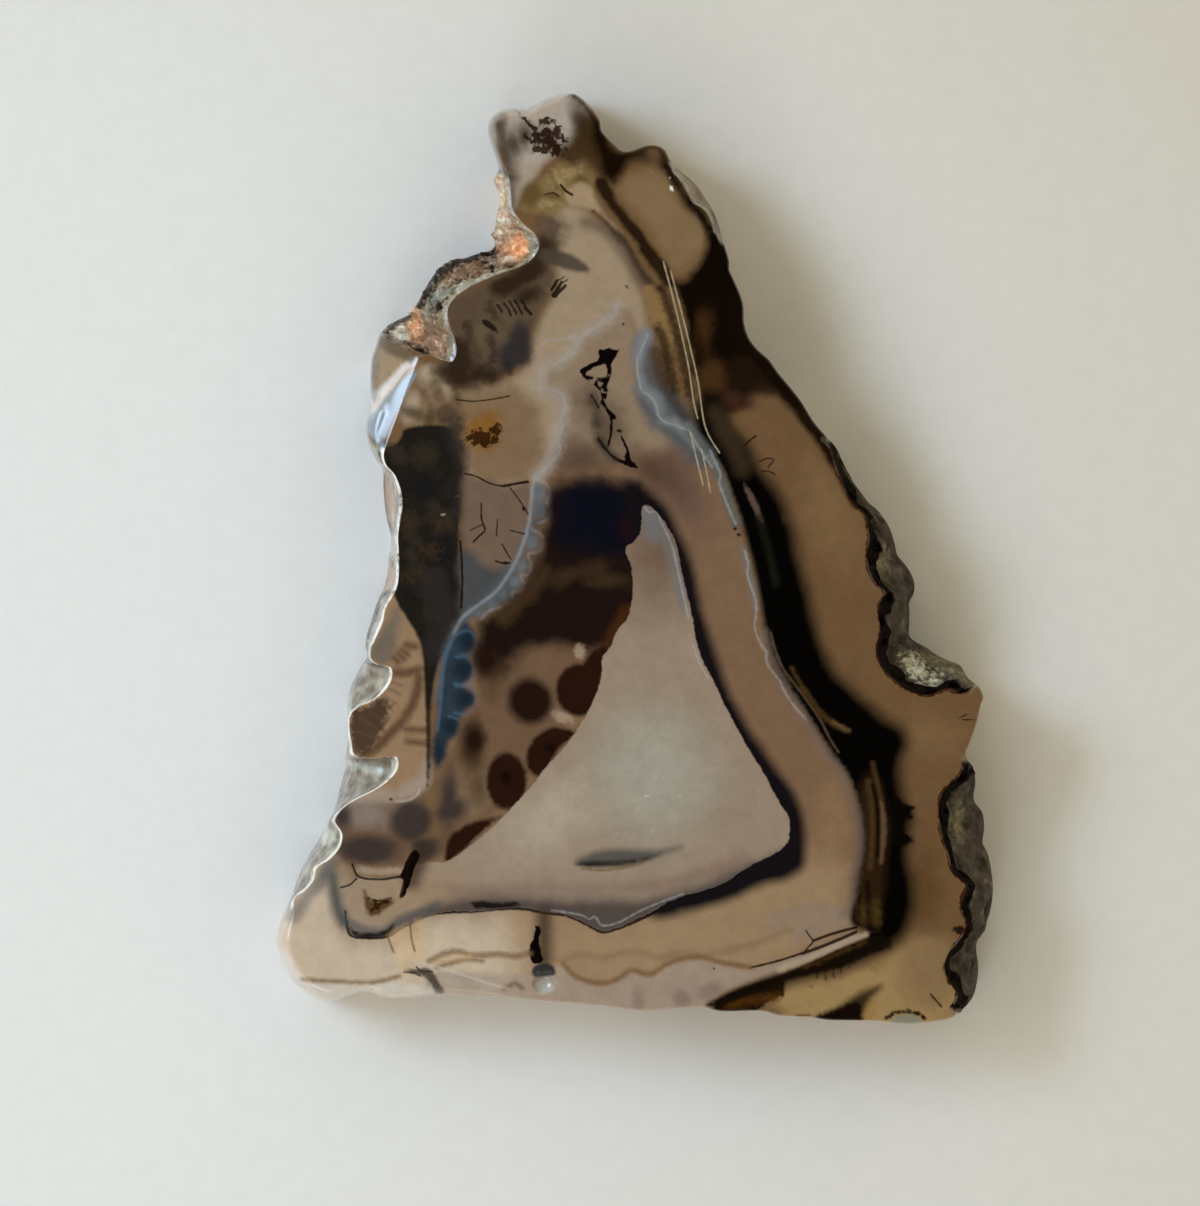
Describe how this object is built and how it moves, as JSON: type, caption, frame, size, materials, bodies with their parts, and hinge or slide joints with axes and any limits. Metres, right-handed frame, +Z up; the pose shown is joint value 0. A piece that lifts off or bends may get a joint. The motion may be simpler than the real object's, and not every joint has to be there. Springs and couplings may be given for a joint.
{
  "type": "agate slice",
  "caption": "Flat polished slice of banded agate with a triangular outline, a pale core, dark bands, a rough rind and a crystal-lined pocket in its rim.",
  "frame": {"origin": "middle of the slice's bounding box, on the surface that it lies on", "axes": "+Z up out of the upper cut face, +Y along the length towards the narrow tip, +X across to the side with the rind"},
  "size_m": [0.0399, 0.0517, 0.006],
  "materials": {
    "agate": "polished faces, rough rind"
  },
  "bodies": {
    "root": {"agate_slice": "agate"}
  },
  "joints": []
}
